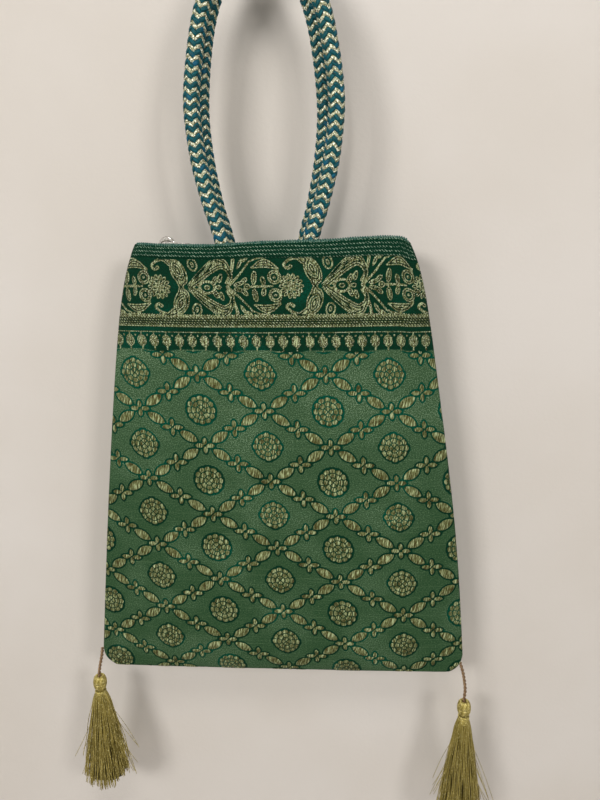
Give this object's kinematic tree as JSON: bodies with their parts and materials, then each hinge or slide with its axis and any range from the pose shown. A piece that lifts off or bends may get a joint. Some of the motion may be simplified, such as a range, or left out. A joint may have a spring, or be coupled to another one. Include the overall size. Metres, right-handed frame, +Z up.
{
  "type": "potli bag",
  "caption": "Flat trapezoid brocade hand bag with a zip across its mouth, braided rope handles and tassels on twisted cords at its lower corners.",
  "frame": {"origin": "the point on the underside of the two handle loops where the bag hangs", "axes": "+Z up, +X along the mouth to the right seen from the front, the front faces -Y"},
  "size_m": [0.2538, 0.031, 0.5126],
  "materials": {
    "brocade": "woven brocade, sage ground, teal outlines and gold weft motifs",
    "lining": "plain thin lining cloth",
    "zip_tape": "ribbed woven tape",
    "zip_teeth": "moulded nylon",
    "zip_metal": "polished nickel plate",
    "braid": "round braid of teal and metallic gold strands",
    "twisted_cord": "two-ply twisted cord",
    "gold_yarn": "metallic gold yarn"
  },
  "bodies": {
    "bag": {"front_panel": "brocade", "back_panel": "brocade", "front_lining": "lining", "back_lining": "lining", "front_zip_tape": "zip_tape", "back_zip_tape": "zip_tape", "front_zip_teeth": "zip_teeth", "back_zip_teeth": "zip_teeth", "zip_top_stop": "zip_metal", "zip_bottom_stop": "zip_metal", "front_handle": "braid", "back_handle": "braid"},
    "slider": {"zip_slider": "zip_metal"},
    "puller": {"zip_puller": "zip_metal"},
    "left_cord": {"left_tassel_cord": "twisted_cord"},
    "left_tassel": {"left_tassel_head": "gold_yarn", "left_tassel_neck": "gold_yarn", "left_tassel_skirt": "gold_yarn"},
    "right_cord": {"right_tassel_cord": "twisted_cord"},
    "right_tassel": {"right_tassel_head": "gold_yarn", "right_tassel_neck": "gold_yarn", "right_tassel_skirt": "gold_yarn"}
  },
  "joints": [
    {"name": "zip_slide", "type": "slide", "parent": "bag", "child": "slider", "axis": [1, 0, 0], "range_m": [0, 0.1149]},
    {"name": "puller_hinge", "type": "hinge", "parent": "slider", "child": "puller", "pos_m": [-0.05745, 0, -0.1419], "axis": [0, -1, 0], "range_deg": [0, 175]},
    {"name": "left_cord_swing", "type": "hinge", "parent": "bag", "child": "left_cord", "pos_m": [-0.11207, 0, -0.386], "axis": [0, 1, 0], "range_deg": [-10, 75]},
    {"name": "left_tassel_swing", "type": "hinge", "parent": "left_cord", "child": "left_tassel", "pos_m": [-0.11207, 0, -0.4035], "axis": [1, 0, 0], "range_deg": [-75, 75]},
    {"name": "right_cord_swing", "type": "hinge", "parent": "bag", "child": "right_cord", "pos_m": [0.11005, 0, -0.393], "axis": [0, -1, 0], "range_deg": [-10, 75]},
    {"name": "right_tassel_swing", "type": "hinge", "parent": "right_cord", "child": "right_tassel", "pos_m": [0.11005, 0, -0.42], "axis": [1, 0, 0], "range_deg": [-75, 75]}
  ]
}
